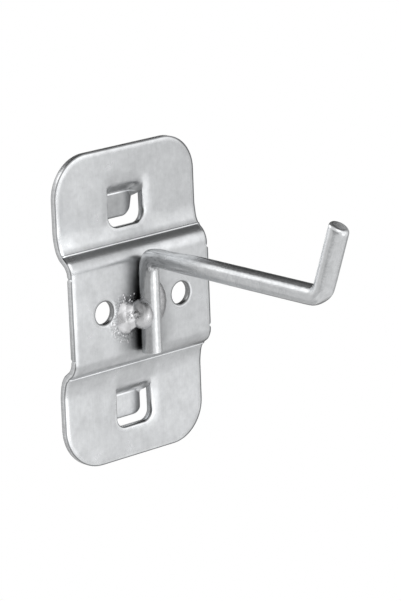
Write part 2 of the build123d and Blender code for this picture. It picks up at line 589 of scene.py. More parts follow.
def depth_on_tab(x, z, opening, back):
    """Depth of a place of a tab behind its bent front line."""
    missing = (1 - slit_fade(z, opening.slit)) * TAB_ROLL_WIDTH
    high = opening.hinge + TAB_HALF_WIDTH
    half_width = tab_half_width(z, opening)
    cut = -box_edge(x, z, half_width, opening.bottom + TAB_FLAT_LIFT, high, opening.tab_corner_r)
    depth = rim_depth(cut + missing, back, TAB_ROLL_WIDTH, TAB_ROLL_DROP)
    depth += DISH_DROP * fading(opening.hinge - DISH_RUN_ON - z, opening.hinge - DISH_RUN_ON - opening.crease)
    return depth if back else depth - bead(z - opening.crease, TAB_BEAD_R)


def rim_depth(distance, back, width, drop):
    """Depth of the front face near a cut that is rolled this far, or of the back face."""
    if back:
        return SHEET - rolled(distance, BACK_ROLL_WIDTH, BACK_ROLL_DROP)
    return rolled(distance, width, drop)


def pressed_plate(materials):
    bm = blank()
    through = bm.verts.layers.float.new(THROUGH)
    cut_away = bm.verts.layers.float.new(FROM_CUT)
    fill_blank(bm)
    plate_rows = plate_section()
    tabs = {opening: tab_section(opening) for opening in OPENINGS}
    heights = [row[0] for row in plate_rows[1:-1]]
    for side in (-1, 1):
        heights += [side * PRESS_LINE_Z + station * PRESS_BEAD_R for station in BEAD_STATIONS]
    for opening, rows in tabs.items():
        heights += [row[0] for row in rows[1:]]
        heights += [opening.crease + station * TAB_BEAD_R for station in BEAD_STATIONS]
        heights += [opening.bottom - cut for cut in DISH_CUTS] + [opening.hinge + cut for cut in DISH_CUTS]
    score(bm, heights)
    made = bmesh.ops.extrude_face_region(bm, geom=bm.faces[:])["geom"]
    back = {item for item in made if isinstance(item, bmesh.types.BMVert)}
    for vert in back:
        vert[through] = 1
    for face in bm.faces:
        if 0 < sum(vert in back for vert in face.verts) < len(face.verts):
            face.material_index = CUT_FACE
    for vert in bm.verts:
        x, z, _ = vert.co
        opening, share = tab_share(x, z)
        vert[cut_away] = min(from_cut(x, z), from_hole(x, z), from_openings(x, z, share)) * MM
        place = on_section(plate_rows, z, depth_on_plate(x, z, vert in back))
        if share > 0:
            low_z = z - torn(x, z, opening)
            on_tab = on_section(tabs[opening], low_z, depth_on_tab(x, low_z, opening, vert in back))
            place = place.lerp(on_tab, share)
        vert.co = (x, *place)
    return finished("pressed_plate", bm, materials, "plated_sheet", "back_plate")


# Bent wire


def drawn_on(bm, ring, by, steps):
    """Draws the wire's last ring straight on, in equal steps, and returns the new last ring."""
    for _ in range(steps):
        made = bmesh.ops.extrude_edge_only(bm, edges=ring)["geom"]
        verts = [item for item in made if isinstance(item, bmesh.types.BMVert)]
        bmesh.ops.translate(bm, vec=by / steps, verts=verts)
        ring = [item for item in made if isinstance(item, bmesh.types.BMEdge)]
        ring = [edge for edge in ring if edge.verts[0] in verts and edge.verts[1] in verts]
    return ring


def bent_on(bm, ring, centre, angle):
    """Bends the wire's last ring on about a centre, in the upright plane of the hook."""
    made = bmesh.ops.spin(
        bm,
        geom=ends_of(ring) + ring,
        cent=centre,
        axis=(1, 0, 0),
        angle=angle,
        steps=WIRE_BEND_STEPS,
        use_merge=False,
    )
    return [item for item in made["geom_last"] if isinstance(item, bmesh.types.BMEdge)]


def squeezed(over, room):
    """How far something that stood out this far is pushed in, where only this much room is left."""
    return over - room * math.tanh(over / room) if over > 0 else 0


def press_bend(bm):
    """Flattens the first bend on top and on its left, where the bending tool held the wire."""
    for vert in bm.verts:
        ahead = LEG_Y - WIRE_BEND_R - vert.co.y
        below = RUN_Z - WIRE_R - vert.co.z
        if ahead < PRESSED_RUN:
            held = fading(ahead, PRESSED_RUN)
            top = squeezed(vert.co.z - RUN_Z - PRESSED_FROM, PRESSED_TOP - PRESSED_FROM)
            side = squeezed(-vert.co.x - PINCHED_FROM, PINCHED_SIDE - PINCHED_FROM)
            vert.co.z -= top * held
            vert.co.x += side * held * fading(below, PINCHED_LEG)


def press_tip(bm, turn):
    """Flattens the outside of the second bend."""
    centre = Vector((0, TIP_CORNER_Y + WIRE_BEND_R * math.tan(turn / 2), RUN_Z + WIRE_BEND_R))
    for vert in bm.verts:
        out = vert.co - centre
        out.x = 0
        bent = math.atan2(-out.y, -out.z)
        held = fading(abs(bent - turn * TIP_PRESSED_AT), TIP_PRESSED_REACH)
        over = out.length - WIRE_BEND_R - TIP_PRESSED_FROM
        vert.co -= out.normalized() * squeezed(over, TIP_PRESSED - TIP_PRESSED_FROM) * held


def slant_end(ring, along):
    """Sets the wire's last ring askew, as the shear cut it."""
    verts = ends_of(ring)
    centre = sum((vert.co for vert in verts), Vector()) / len(verts)
    for vert in verts:
        vert.co += along * (vert.co - centre).dot(Vector(TIP_SLANT))


def straightened(place, turn):
    """Where a point of the wire was before it was bent: (across, outward, along)."""
    first_y = LEG_Y - WIRE_BEND_R
    first_z = RUN_Z - WIRE_BEND_R
    last_y = TIP_CORNER_Y + WIRE_BEND_R * math.tan(turn / 2)
    last_z = RUN_Z + WIRE_BEND_R
    leg = first_z - LEG_END_Z
    run = leg + WIRE_BEND_R * math.pi / 2
    tip = run + first_y - last_y
    if place.y > first_y and place.z < first_z:
        return place.x, place.y - LEG_Y, place.z - LEG_END_Z
    if place.y > first_y:
        outward = math.hypot(place.y - first_y, place.z - first_z) - WIRE_BEND_R
        return place.x, outward, leg + WIRE_BEND_R * math.atan2(place.z - first_z, place.y - first_y)
    if place.y > last_y:
        return place.x, place.z - RUN_Z, run + first_y - place.y
    bent = math.atan2(last_y - place.y, last_z - place.z)
    if bent < turn:
        outward = WIRE_BEND_R - math.hypot(last_y - place.y, last_z - place.z)
        return place.x, outward, tip + WIRE_BEND_R * bent
    over_y = place.y - last_y
    over_z = place.z - last_z
    outward = WIRE_BEND_R + over_y * math.sin(turn) + over_z * math.cos(turn)
    along = over_z * math.sin(turn) - over_y * math.cos(turn)
    return place.x, outward, tip + WIRE_BEND_R * turn + along


def bent_wire(materials):
    bm = bmesh.new()
    circle(bm, WIRE_SIDES, WIRE_R, (0, LEG_Y, LEG_END_Z))
    ring = bm.edges[:]
    turn = math.radians(TIP_ANGLE)
    tip_reach = WIRE_BEND_R * math.tan(turn / 2)
    ring = drawn_on(bm, ring, Vector((0, 0, RUN_Z - WIRE_BEND_R - LEG_END_Z)), RUN_STEPS)
    ring = bent_on(bm, ring, (0, LEG_Y - WIRE_BEND_R, RUN_Z - WIRE_BEND_R), math.pi / 2)
    ring = drawn_on(bm, ring, Vector((0, TIP_CORNER_Y + tip_reach - LEG_Y + WIRE_BEND_R, 0)), RUN_STEPS)
    ring = bent_on(bm, ring, (0, TIP_CORNER_Y + tip_reach, RUN_Z + WIRE_BEND_R), -turn)
    along = Vector((0, -math.cos(turn), math.sin(turn)))
    ring = drawn_on(bm, ring, along * (TIP_LENGTH - tip_reach - TIP_END), RUN_STEPS)
    ring = drawn_on(bm, ring, along * TIP_END, 1)
    slant_end(ring, along)
    press_bend(bm)
    press_tip(bm, turn)
    ends = [edge for edge in bm.edges if edge.is_boundary]
    caps = bmesh.ops.holes_fill(bm, edges=ends, sides=0)["faces"]
    tip_cap, leg_cap = sorted(caps, key=lambda face: face.calc_center_median().y)
    rounded_off(bm, list(tip_cap.edges), TIP_ROUND, WIRE_END_STEPS, "EDGES")
    rounded_off(bm, list(leg_cap.edges), LEG_END_ROUND, WIRE_END_STEPS, "EDGES")
    straight = bm.verts.layers.float_vector.new(STRAIGHT)
    for vert in bm.verts:
        vert[straight] = Vector(straightened(vert.co, turn)) * MM
    return finished("bent_wire", bm, materials, "plated_wire", "hook_rod")


# Weld metal


def ball(bm, centre, radii, steps):
    place = Matrix.Translation(centre) @ Matrix.Diagonal((*radii, 1))
    bmesh.ops.create_icosphere(bm, subdivisions=steps, radius=1, matrix=place)


def fused(bm):
    """Runs overlapping balls of weld metal into one skin, cut off inside the sheet."""
    mesh = bpy.data.meshes.new("weld_balls")
    bm.to_mesh(mesh)
    bm.clear()
    balls = bpy.data.objects.new("weld_balls", mesh)
    scene.collection.objects.link(balls)
    remesh = balls.modifiers.new("run together", "REMESH")
    remesh.mode = "VOXEL"
    remesh.voxel_size = WELD_VOXEL
    smooth = balls.modifiers.new("set", "SMOOTH")
    smooth.factor = WELD_SMOOTHING
    smooth.iterations = WELD_SMOOTHINGS
    bm.from_object(balls, bpy.context.evaluated_depsgraph_get())
    bpy.data.objects.remove(balls)
    everything = bm.verts[:] + bm.edges[:] + bm.faces[:]
    sliced(bm, everything, (0, WELD_CUT, 0), (0, 1, 0), clear_outer=True)
    bmesh.ops.holes_fill(bm, edges=[edge for edge in bm.edges if edge.is_boundary], sides=0)
    bm.normal_update()


def weld_nugget(materials):
    bm = bmesh.new()
    for centre, radii in (PLATE_LOBE, LEG_LOBE, SADDLE):
        ball(bm, centre, radii, BALL_STEPS)
    fused(bm)
    moves = []
    for vert in bm.verts:
        lump = LUMP_HEIGHT * noise.noise(vert.co / LUMP_SIZE)
        pip = PIP_HEIGHT * fading((vert.co - Vector(PIP)).length, PIP_REACH)
        moves.append(vert.normal * (lump + pip * noise.noise(vert.co / PIP_GRAIN)))
    for vert, move in zip(bm.verts, moves):
        vert.co += move
    return finished("weld_nugget", bm, materials, "weld_metal", "weld_nugget_left")


def weld_bead(materials):
    bm = bmesh.new()
    for step in range(BEAD_PUDDLES):
        along = (step + 1) / (BEAD_PUDDLES + 1) * 2 - 1
        radius = BEAD_R * (1 - along ** 2)
        centre = (BEAD_X, BEAD_Y, BEAD_Z + along * BEAD_HALF_LENGTH)
        ball(bm, centre, (radius, radius, radius), BALL_STEPS)
    fused(bm)
    return finished("weld_bead", bm, materials, "weld_metal", "weld_bead_right")


def weld_spatter(materials):
    """Small drops that the weld threw on the plate, in a ring that is open towards the leg."""
    bm = bmesh.new()
    draw = random.Random(SPATTER_SEED)
    (centre_x, _, centre_z), _ = PLATE_LOBE
    for _ in range(SPATTER_COUNT):
        around = SPATTER_START + SPATTER_SWEEP * draw.random()
        away = SPATTER_FROM + SPATTER_OVER * draw.random() ** 2
        radius = SPATTER_R[0] + (SPATTER_R[1] - SPATTER_R[0]) * draw.random() ** 2
        x = centre_x + away * math.cos(around)
        z = centre_z + away * math.sin(around)
        if math.hypot(x + SCREW_X, z) > SCREW_HOLE_R + HOLE_ROLL_WIDTH + radius:
            ball(bm, (x, MIDDLE_FRONT, z), (radius, radius * SPATTER_FLAT, radius), SPATTER_STEPS)
    return finished("weld_spatter", bm, materials, "weld_metal")


# Finishes

# Tones at the start and the end of a ramp
RISING = (0, 1)
FALLING = (1, 0)

# Soft noise: the range that it mostly has, and how rough it is
NOISE_RANGE = (0.3, 0.7)
NOISE_ROUGHNESS = 0.55

# Half widths from its middle at which a painted highlight line has faded out
LINE_FADE = 1.6

# Share of the light that the brightest metal gives back
BRIGHTEST = 0.96


def node(tree, kind, inputs, **settings):
    """A new node; each input is set to a value or linked to a socket."""
    made = tree.nodes.new(kind)
    for name, value in settings.items():
        setattr(made, name, value)
    for name, value in inputs.items():
        if isinstance(value, bpy.types.NodeSocket):
            tree.links.new(value, made.inputs[name])
        else:
            made.inputs[name].default_value = value
    return made


def metal(name, colour):
    """A new metal finish: its material, node tree and shader."""
    material = bpy.data.materials.new(name)
    material.use_nodes = True
    shader = material.node_tree.nodes["Principled BSDF"]
    shader.inputs["Base Color"].default_value = (*colour, 1)
    shader.inputs["Metallic"].default_value = 1
    return material, material.node_tree, shader


def object_place(tree):
    return node(tree, "ShaderNodeTexCoord", {}).outputs["Object"]


def attribute(tree, name):
    return node(tree, "ShaderNodeAttribute", {}, attribute_name=name).outputs


def axes(tree, place):
    return node(tree, "ShaderNodeSeparateXYZ", {"Vector": place}).outputs


def stretched(tree, place, scale):
    return node(tree, "ShaderNodeMapping", {"Vector": place, "Scale": scale}).outputs["Vector"]


def clouds(tree, place, size, detail):
    """Soft noise with patches of this size in millimetres."""
    inputs = {"Vector": place, "Scale": 1 / (size * MM), "Detail": detail, "Roughness": NOISE_ROUGHNESS}
    return node(tree, "ShaderNodeTexNoise", inputs).outputs["Fac"]


def spread(tree, value, reach, tones, soft=False):
    """Maps a value's reach to tones, held at both ends."""
    low, high = reach
    to_low, to_high = tones
    inputs = {"Value": value, "From Min": low, "From Max": high, "To Min": to_low, "To Max": to_high}
    kind = "SMOOTHSTEP" if soft else "LINEAR"
    return node(tree, "ShaderNodeMapRange", inputs, interpolation_type=kind).outputs["Result"]


def ramp(tree, distance, reach, tones, soft=False):
    """Maps a distance in metres to tones, its reach given in millimetres."""
    return spread(tree, distance, [end * MM for end in reach], tones, soft)


def within(tree, value, start, end, soft=False):
    """One between two places, rising over the start and falling over the end, in millimetres."""
    rising = ramp(tree, value, start, RISING, soft)
    return product(tree, rising, ramp(tree, value, end, FALLING, soft))


def toned(tree, patches, tones):
    """Maps soft noise to tones."""
    return spread(tree, patches, NOISE_RANGE, tones)


def inverse(tree, value):
    return spread(tree, value, RISING, FALLING)


def combined(tree, operation, first, second):
    return node(tree, "ShaderNodeMath", {0: first, 1: second}, operation=operation).outputs[0]


def chained(tree, operation, values):
    result = values[0]
    for value in values[1:]:
        result = combined(tree, operation, result, value)
    return result


def product(tree, *values):
    return chained(tree, "MULTIPLY", values)


def total_of(tree, *values):
    return chained(tree, "ADD", values)


def unsigned(tree, value):
    return combined(tree, "ABSOLUTE", value, 0)


def near_line(tree, value, at, half):
    """One within this distance of a line, and none outside it, in millimetres."""
    away = unsigned(tree, combined(tree, "SUBTRACT", value, at * MM))
    return ramp(tree, away, (half, LINE_FADE * half), FALLING)


def distance_from(tree, place, point):
    """Distance in metres from a point given in millimetres."""
    at = tuple(part * MM for part in point)
    return node(tree, "ShaderNodeVectorMath", {0: place, 1: at}, operation="DISTANCE").outputs["Value"]


def distance_along(tree, place, direction):
    made = node(tree, "ShaderNodeVectorMath", {0: place, 1: direction}, operation="DOT_PRODUCT")
    return made.outputs["Value"]


def spot(tree, place, centre, reach, tones):
    """Soft tones round a point, from the first within its reach to the second beyond it."""
    return ramp(tree, distance_from(tree, place, centre), reach, tones, True)


def shaded(tree, shader, colour, shade):
    """Lays a colour on the shader, darkened or lightened by a shade that varies round one."""
    held = combined(tree, "MINIMUM", shade, BRIGHTEST / max(colour))
    laid = node(tree, "ShaderNodeVectorMath", {"Vector": colour, "Scale": held}, operation="SCALE")
    tree.links.new(laid.outputs["Vector"], shader.inputs["Base Color"])


def bumped(tree, shader, height, depth):
    """Raises relief on the surface: a height of one stands for this depth in millimetres."""
    bump = node(tree, "ShaderNodeBump", {"Height": height, "Distance": depth * MM, "Strength": 1.0})
    tree.links.new(bump.outputs["Normal"], shader.inputs["Normal"])


# Zinc on the sheet: its colour, then (size, detail) and tones of each noise; all reaches are in millimetres
SHEET_COLOUR = (0.57, 0.58, 0.59)
SHEET_PATCHES = (3.4, 3)
SHEET_PATCH_TONES = (0.9, 1.07)
SHEET_BLOTCHES = (0.9, 4)
SHEET_BLOTCH_TONES = (0.94, 1.05)
SHEET_GRAIN = (0.16, 2)
SHEET_GRAIN_TONES = (0.97, 1.03)
SHEET_BRUSH = (0.2, 3)
SHEET_BRUSHED = (1, 1, 0.05)
SHEET_BRUSH_TONES = (0.97, 1.03)
SHEET_ROUGHNESS = (0.35, 0.27)
GRAIN_RELIEF = 0.5
BRUSH_RELIEF = 0.5
CRUST_RELIEF = 9
SHEET_RELIEF = 0.006

# Painted shade beside the leg, where it meets the middle; the same mask makes the metal there more matt
ON_MIDDLE = (-4.2, -3.9)
CREVICE_SHADE_FROM = (-10.0, -7.6)
CREVICE_SHADE_TO = (0.5, 9.0)
HAZE_WIDTH = (2.4, 8.4)
CORNER_WIDTH = (1.4, 2.6)
CREVICE_SHADE_TONES = (0.48, 0)
CREVICE_ROUGHNESS = (0, 0.2)

# Crust round the nugget
RING_FROM = (2.4, 3.0)
RING_TO = (3.2, 5.4)
RING_CRUST = (0.4, 4)
CRUST_RANGE = (0.38, 0.62)
CRUST_TONES = (-0.42, 0.3)

# Tabs: painted shade on the upper one, painted light on the lower one and on the right of each, and painted
# shade in the hollow above the lower one
IN_RECESS = (0.2, 1.2)
SCOOP_FROM = (-1.0, 0.2)
SCOOP_TO = (0.8, 1.4)
UPPER_HALF = (0, 1)
TAB_SHADE_BY_HALF = (-0.12, 0.24)
TAB_RIGHT = (0.6, 2.2)
TAB_RIGHT_LIGHT = (0, -0.3)
SCOOP_SHADE = (0.34, 0)

# Painted highlights along the press lines and the tabs' creases
HIGHLIGHT_LINE_HALF = 0.11
UPPER_CREASE_Z = 19.54
LOWER_CREASE_Z = -18.46
CREASE_HIGHLIGHT_TONES = (1, 1.8)
PRESS_HIGHLIGHT_TONES = (1, 1.35)

# Painted shade in a line under the upper press line, and a painted highlight on the right part of the bend
# below it
UNDER_LINE_FROM = (PRESS_LINE_Z - 1.1, PRESS_LINE_Z - 0.55)
UNDER_LINE_TO = (PRESS_LINE_Z - 0.35, PRESS_LINE_Z - 0.15)
UNDER_LINE_SHADE_TONES = (1, 0.7)
BEND_LINE_FROM = (8.6, 9.7)
BEND_LINE_TO = (10.0, 10.5)
BEND_LINE_RIGHT = (-3, 4)
BEND_HIGHLIGHT_TONES = (1, 1.42)

# Cuts: painted shade in a line along them, wider on the right, and a painted highlight on the rim inside it
# on the left
RIGHT_SIDE = (10, 14)
SHADE_LINE_WIDENING = 0.13
RIM_LINE = (0.1, 0.32)
RIM_SHADE_TONES = (0.3, 1)
RIM_HIGHLIGHT_REACH = (0.3, 0.95)
RIM_HIGHLIGHT_TONES = (0.28, 0)
PADS_FROM = (8, 11)
PAD_RIM_SHARES = (0.2, 1)
POLISH_WIDTH = (0.3, 1.0)
POLISH = (-0.1, 0)

# Painted light and shade: (centre, reach, tone) of spots, shade growing to the upper right, over the upper
# pad, and on the right of the lower web
LIGHT_AND_SHADE_SPOTS = (
    ((-14.0, -1.4, 14.0), (1, 6), 1.13),
    ((-13.5, -4.75, -5.0), (2.0, 6.0), 0.92),
    ((2.0, -1.8, 13.4), (0.8, 4.5), 0.91),
    ((11.5, -1.25, -22.0), (2.0, 8.0), 1.075),
    ((-2.0, -1.25, -27.0), (2.0, 7.0), 0.95),
)
DRIFT_RIGHT = (-11, 0)
DRIFT_DEPTH = (0, 0.1)
DRIFT_UP = (-17, -3)
UPPER_PAD_FROM = (13, 17)
UPPER_PAD_SHADE_TONES = (1, 0.955)
LOW_WEB_FRONT = (-4.5, -4.0)
LOW_WEB_BACK = (-2.9, -2.5)
LOW_WEB_TOP = (-9, -8)
WEB_SHADE_RIGHT = (-4, 10)
WEB_SHADE_DEPTH = (0, 0.2)


def painted_crevice_shade(tree, x, y, z):
    """How much painted shade lies on the middle on both sides of the welded leg."""
    aside = unsigned(tree, x)
    haze = ramp(tree, aside, HAZE_WIDTH, CREVICE_SHADE_TONES, True)
    corner = ramp(tree, aside, CORNER_WIDTH, CREVICE_SHADE_TONES, True)
    on_middle = ramp(tree, y, ON_MIDDLE, FALLING)
    beside_leg = within(tree, z, CREVICE_SHADE_FROM, CREVICE_SHADE_TO, True)
    return product(tree, on_middle, beside_leg, total_of(tree, haze, corner))


def weld_ring(tree, place, in_front):
    """Where the weld crusted the plate round the nugget."""
    (centre_x, _, centre_z), _ = PLATE_LOBE
    from_weld = distance_from(tree, place, (centre_x, MIDDLE_FRONT, centre_z))
    return product(tree, within(tree, from_weld, RING_FROM, RING_TO, True), in_front)


def tab_light_and_shade(tree, x, y, z):
    """Painted light and shade on the tabs, painted highlights on their creases, and painted shade in the
    hollow above the lower tab.
    """
    in_recess = ramp(tree, y, IN_RECESS, RISING)
    in_scoop = within(tree, y, SCOOP_FROM, SCOOP_TO)
    right_light = ramp(tree, x, TAB_RIGHT, TAB_RIGHT_LIGHT)
    tab_shade = total_of(tree, ramp(tree, z, UPPER_HALF, TAB_SHADE_BY_HALF), right_light)
    scoop_shade = ramp(tree, z, UPPER_HALF, SCOOP_SHADE)
    # Painted shade in the recesses and the lower hollow, less painted light on the lower tab and on the right
    # of each tab
    recess_shade = total_of(tree, product(tree, in_recess, tab_shade), product(tree, in_scoop, scoop_shade))
    # Painted highlights along the tabs' creases
    upper_crease_highlight = near_line(tree, z, UPPER_CREASE_Z, HIGHLIGHT_LINE_HALF)
    lower_crease_highlight = near_line(tree, z, LOWER_CREASE_Z, HIGHLIGHT_LINE_HALF)
    crease_highlights = product(tree, in_recess, total_of(tree, upper_crease_highlight, lower_crease_highlight))
    kept = combined(tree, "MAXIMUM", combined(tree, "SUBTRACT", 1, recess_shade), crease_highlights)
    return product(tree, kept, spread(tree, crease_highlights, RISING, CREASE_HIGHLIGHT_TONES))


def press_light_and_shade(tree, x, z, in_front):
    """Painted highlights along the press lines and on the bend below the upper one, and painted shade under
    the upper one.
    """
    # Painted highlight along each press line
    press_highlight = near_line(tree, unsigned(tree, z), PRESS_LINE_Z, HIGHLIGHT_LINE_HALF)
    # Painted shade under the upper press line, and a painted highlight on the right part of the bend below it
    under_line_shade = product(tree, within(tree, z, UNDER_LINE_FROM, UNDER_LINE_TO), in_front)
    on_right = ramp(tree, x, BEND_LINE_RIGHT, RISING, True)
    bend_highlight = product(tree, within(tree, z, BEND_LINE_FROM, BEND_LINE_TO), on_right, in_front)
    return product(
        tree,
        spread(tree, press_highlight, RISING, PRESS_HIGHLIGHT_TONES),
        spread(tree, under_line_shade, RISING, UNDER_LINE_SHADE_TONES),
        spread(tree, bend_highlight, RISING, BEND_HIGHLIGHT_TONES),
    )


def rim_light_and_shade(tree, x, z, cut_away):
    """Painted shade in a line along the cuts of the sheet, and painted highlights on the rims beside them on
    the left.
    """
    at_right = ramp(tree, x, RIGHT_SIDE, RISING)
    shade_line_reach = combined(tree, "SUBTRACT", cut_away, product(tree, at_right, SHADE_LINE_WIDENING * MM))
    # Painted shade in a line along the cut
    line = ramp(tree, shade_line_reach, RIM_LINE, RIM_SHADE_TONES, True)
    near_cut = ramp(tree, cut_away, RIM_HIGHLIGHT_REACH, RIM_HIGHLIGHT_TONES)
    on_pads = ramp(tree, unsigned(tree, z), PADS_FROM, PAD_RIM_SHARES)
    rim_highlight = product(tree, near_cut, on_pads, inverse(tree, at_right))
    return product(tree, line, total_of(tree, 1, rim_highlight))


def painted_light_and_shade(tree, place, x, y, z):
    """Faint painted light and shade in spots, towards the upper right, over the upper pad and on the lower
    web.
    """
    spots = [spot(tree, place, centre, reach, (tone, 1)) for centre, reach, tone in LIGHT_AND_SHADE_SPOTS]
    upwards = ramp(tree, z, DRIFT_UP, RISING, True)
    drift = product(tree, ramp(tree, x, DRIFT_RIGHT, DRIFT_DEPTH, True), upwards)
    upper_pad = ramp(tree, z, UPPER_PAD_FROM, UPPER_PAD_SHADE_TONES, True)
    on_web = within(tree, y, LOW_WEB_FRONT, LOW_WEB_BACK)
    on_low_web = product(tree, on_web, ramp(tree, z, LOW_WEB_TOP, FALLING))
    web_shade = product(tree, on_low_web, ramp(tree, x, WEB_SHADE_RIGHT, WEB_SHADE_DEPTH))
    return product(tree, *spots, inverse(tree, drift), upper_pad, inverse(tree, web_shade))


def zinc_sheet():
    """Satin zinc on pressed sheet: cloudy, finely grained, faintly brushed upright, with painted shade beside
    the leg and painted light and shade in other places.
    """
    material, tree, shader = metal("zinc_sheet", SHEET_COLOUR)
    place = object_place(tree)
    x, y, z = axes(tree, place)
    in_front = inverse(tree, attribute(tree, THROUGH)["Fac"])
    cut_away = attribute(tree, FROM_CUT)["Fac"]
    patches = clouds(tree, place, *SHEET_PATCHES)
    blotches = clouds(tree, place, *SHEET_BLOTCHES)
    grain = clouds(tree, place, *SHEET_GRAIN)
    brush = clouds(tree, stretched(tree, place, SHEET_BRUSHED), *SHEET_BRUSH)
    crust = clouds(tree, place, *RING_CRUST)
    # Painted shade beside the leg
    crevice_shade = painted_crevice_shade(tree, x, y, z)
    ring = weld_ring(tree, place, in_front)
    crusted = total_of(tree, 1, product(tree, ring, spread(tree, crust, CRUST_RANGE, CRUST_TONES)))
    shade = product(
        tree,
        toned(tree, patches, SHEET_PATCH_TONES),
        toned(tree, blotches, SHEET_BLOTCH_TONES),
        toned(tree, grain, SHEET_GRAIN_TONES),
        toned(tree, brush, SHEET_BRUSH_TONES),
        inverse(tree, crevice_shade),
        tab_light_and_shade(tree, x, y, z),
        press_light_and_shade(tree, x, z, in_front),
        crusted,
        rim_light_and_shade(tree, x, z, cut_away),
        painted_light_and_shade(tree, place, x, y, z),
    )
    shaded(tree, shader, SHEET_COLOUR, shade)
    satin = toned(tree, patches, SHEET_ROUGHNESS)
    matt = spread(tree, crevice_shade, RISING, CREVICE_ROUGHNESS)
    polish = ramp(tree, cut_away, POLISH_WIDTH, POLISH)
    tree.links.new(total_of(tree, satin, matt, polish), shader.inputs["Roughness"])
    relief = total_of(
        tree,
        product(tree, grain, GRAIN_RELIEF),
        product(tree, brush, BRUSH_RELIEF),
        product(tree, ring, crust, CRUST_RELIEF),
    )
    bumped(tree, shader, relief, SHEET_RELIEF)
    return material


# Sheared edge of the sheet: HALF_WAY is the middle of its thickness
EDGE_COLOUR = (0.7, 0.71, 0.72)
HALF_WAY = 0.5
EDGE_WANDER = (1.2, 3)
EDGE_WANDER_WIDTH = (-0.12, 0.12)
TORN_FROM = (0.42, 0.5)
TORN_TONES = (1.02, 0.8)
TORN_ROUGHNESS = (0.26, 0.44)
LIP_TONES = (0.72, 1)
EDGE_RIDGES = (0.3, 2)
EDGE_RIDGED = (1, 0.08, 1)
EDGE_RIDGE_TONES = (0.9, 1.08)
EDGE_CRUMBS = (0.22, 3)
# Painted shade along the front and back corners of the cut face, and on the walls of the screw holes
EDGE_SHADE_REACH = (0.34, 0.48)
EDGE_SHADE_TONES = (1, 0.5)
HOLE_WALL = (SCREW_HOLE_R + 0.2, SCREW_HOLE_R + 0.4)
HOLE_SHADE_TONES = (0.45, 1)
RIDGE_RELIEF = 0.4
EDGE_RELIEF = 0.05


def sheared_edge():
    """Cut face of the sheet: a burnished band behind the front rim, then broken metal, ridged across, with
    painted shade along its front and back corners and on the screw holes' walls.
    """
    material, tree, shader = metal("sheared_edge", EDGE_COLOUR)
    place = object_place(tree)
    x, _, z = axes(tree, place)
    through = attribute(tree, THROUGH)["Fac"]
    wander = toned(tree, clouds(tree, place, *EDGE_WANDER), EDGE_WANDER_WIDTH)
    broken = spread(tree, total_of(tree, through, wander), TORN_FROM, RISING)
    ridges = clouds(tree, stretched(tree, place, EDGE_RIDGED), *EDGE_RIDGES)
    crumbs = clouds(tree, place, *EDGE_CRUMBS)
    from_lip = unsigned(tree, combined(tree, "SUBTRACT", broken, HALF_WAY))
    from_middle = unsigned(tree, combined(tree, "SUBTRACT", through, HALF_WAY))
    folded = node(tree, "ShaderNodeCombineXYZ", {"X": unsigned(tree, x), "Z": z}).outputs["Vector"]
    from_screw = distance_from(tree, folded, (SCREW_X, 0, 0))
    shade = product(
        tree,
        spread(tree, broken, RISING, TORN_TONES),
        spread(tree, from_lip, (0, HALF_WAY), LIP_TONES),
        toned(tree, ridges, EDGE_RIDGE_TONES),
        spread(tree, from_middle, EDGE_SHADE_REACH, EDGE_SHADE_TONES, True),
        ramp(tree, from_screw, HOLE_WALL, HOLE_SHADE_TONES),
    )
    shaded(tree, shader, EDGE_COLOUR, shade)
    tree.links.new(spread(tree, broken, RISING, TORN_ROUGHNESS), shader.inputs["Roughness"])
    relief = total_of(tree, product(tree, ridges, RIDGE_RELIEF), product(tree, crumbs, broken))
    bumped(tree, shader, relief, EDGE_RELIEF)
    return material


# Zinc on the wire: reaches along the unbent wire from the leg's end, and outward from its axis at the bends
WIRE_COLOUR = (0.64, 0.65, 0.66)
WIRE_PATCHES = (2.6, 3)
WIRE_PATCH_TONES = (0.92, 1.06)
WIRE_BLOTCHES = (0.8, 4)
WIRE_BLOTCH_TONES = (0.94, 1.05)
WIRE_LINES = (0.22, 3)
WIRE_LINED = (1, 1, 0.04)
WIRE_LINE_TONES = (0.95, 1.04)
WIRE_GRAIN = (0.15, 2)
WIRE_GRAIN_TONES = (0.96, 1.04)
WIRE_DENTS = (0.45, 2)
WIRE_ROUGHNESS = (0.28, 0.21)
LINE_RELIEF = 0.6
DENT_RELIEF = 1.8
SCAR_RELIEF = 3
WIRE_RELIEF = 0.014

# Dark marks of the bending tool inside the first bend, and painted shade on the side next to the plate
SCARRED_FROM = (14, 17)
SCARRED_TO = (20, 26)
SCARRED_OUT = (0.1, 0.7)
SCARRED_OUT_SHARES = (1, 0.25)
WIRE_SCARS = (0.42, 3)
WIRE_SCARRED = (1, 1, 0.2)
SCAR_RANGE = (0.47, 0.58)
SCAR_DEPTH = (0, 0.42)
AT_PLATE_TO = (17, 19)
AT_PLATE_OUT = (1.1, 1.9)
PLATE_SHADE_DEPTH = (0, 0.6)

# Top of the run near the first bend, where the tool held it: painted highlights in patches, and a painted
# glint on the bend
HELD_FROM = (16.5, 18.5)
HELD_TO = (25, 32)
HELD_OUT = (0.3, 1.0)
WIRE_HIGHLIGHT_PATCHES = (0.8, 3)
WIRE_HIGHLIGHT_STRETCH = (1, 1, 0.35)
WIRE_HIGHLIGHT_RANGE = (0.4, 0.62)
WIRE_HIGHLIGHT_SHARES = (0.25, 1)
HELD_HIGHLIGHT_TONES = (1, 1.85)
BEND_GLINT = (-1.4, 1.2, 19.2)
BEND_GLINT_REACH = (0.4, 1.1)
BEND_GLINT_TONES = (1.7, 1)

